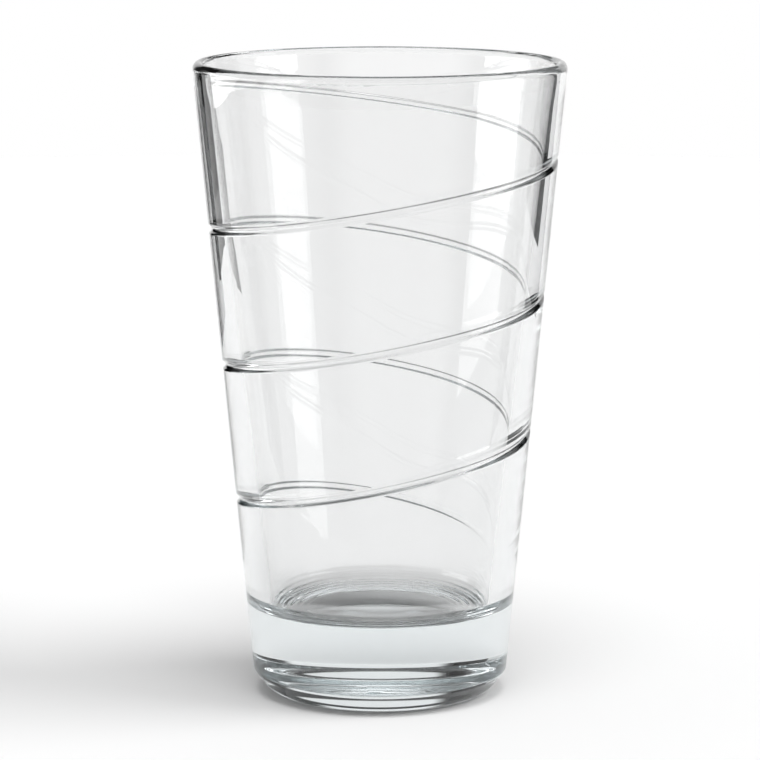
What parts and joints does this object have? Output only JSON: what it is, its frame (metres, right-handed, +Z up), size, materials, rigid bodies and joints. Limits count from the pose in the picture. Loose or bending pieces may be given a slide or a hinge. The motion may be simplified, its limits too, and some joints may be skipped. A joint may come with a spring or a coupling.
{
  "type": "mixing glass",
  "caption": "Tapered clear glass tumbler with a heavy solid base, a rounded rim and a spiral groove winding up the outside, for stirring and shaking drinks.",
  "frame": {"origin": "centre of the underside, on the table that the glass stands on", "axes": "+Z up along the glass's own axis; +X towards the side where the groove's lower end fades out; the picture looks along +Y"},
  "size_m": [0.0886, 0.0886, 0.152],
  "materials": {
    "clear_glass": "clear, fire-polished"
  },
  "bodies": {
    "root": {"glass_tumbler": "clear_glass"}
  },
  "joints": []
}
